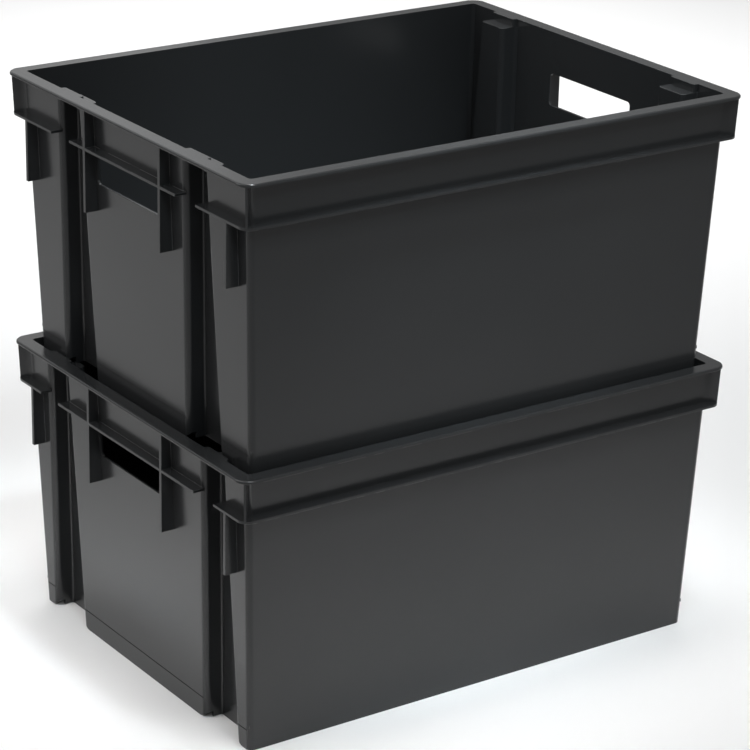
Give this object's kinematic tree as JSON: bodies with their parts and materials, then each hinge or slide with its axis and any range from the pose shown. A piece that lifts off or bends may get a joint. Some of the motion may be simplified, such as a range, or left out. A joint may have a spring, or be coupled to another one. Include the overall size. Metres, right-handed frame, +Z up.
{
  "type": "stacked storage crates",
  "caption": "Pair of black stack-and-nest harvest crates with drafted walls, open channel rims, grooved ends and hand holes; the upper crate stands on the lower one and lifts off.",
  "frame": {"origin": "on the ground, under the middle of the lower crate", "axes": "+X along the crates' long sides, with the lower crate's wide-groove end at -X; +Y across them; +Z up"},
  "size_m": [0.545, 0.42, 0.54],
  "materials": {
    "lower_crate_plastic": "black polypropylene, satin to semi-gloss moulded surface",
    "upper_crate_plastic": "black polypropylene, satin to semi-gloss moulded surface"
  },
  "bodies": {
    "lower_crate": {"lower_crate": "lower_crate_plastic"},
    "upper_crate": {"upper_crate": "upper_crate_plastic"}
  },
  "joints": [
    {"name": "upper_lift", "type": "slide", "parent": "lower_crate", "child": "upper_crate", "axis": [0, 0, 1], "range_m": [0, 0.3]}
  ]
}
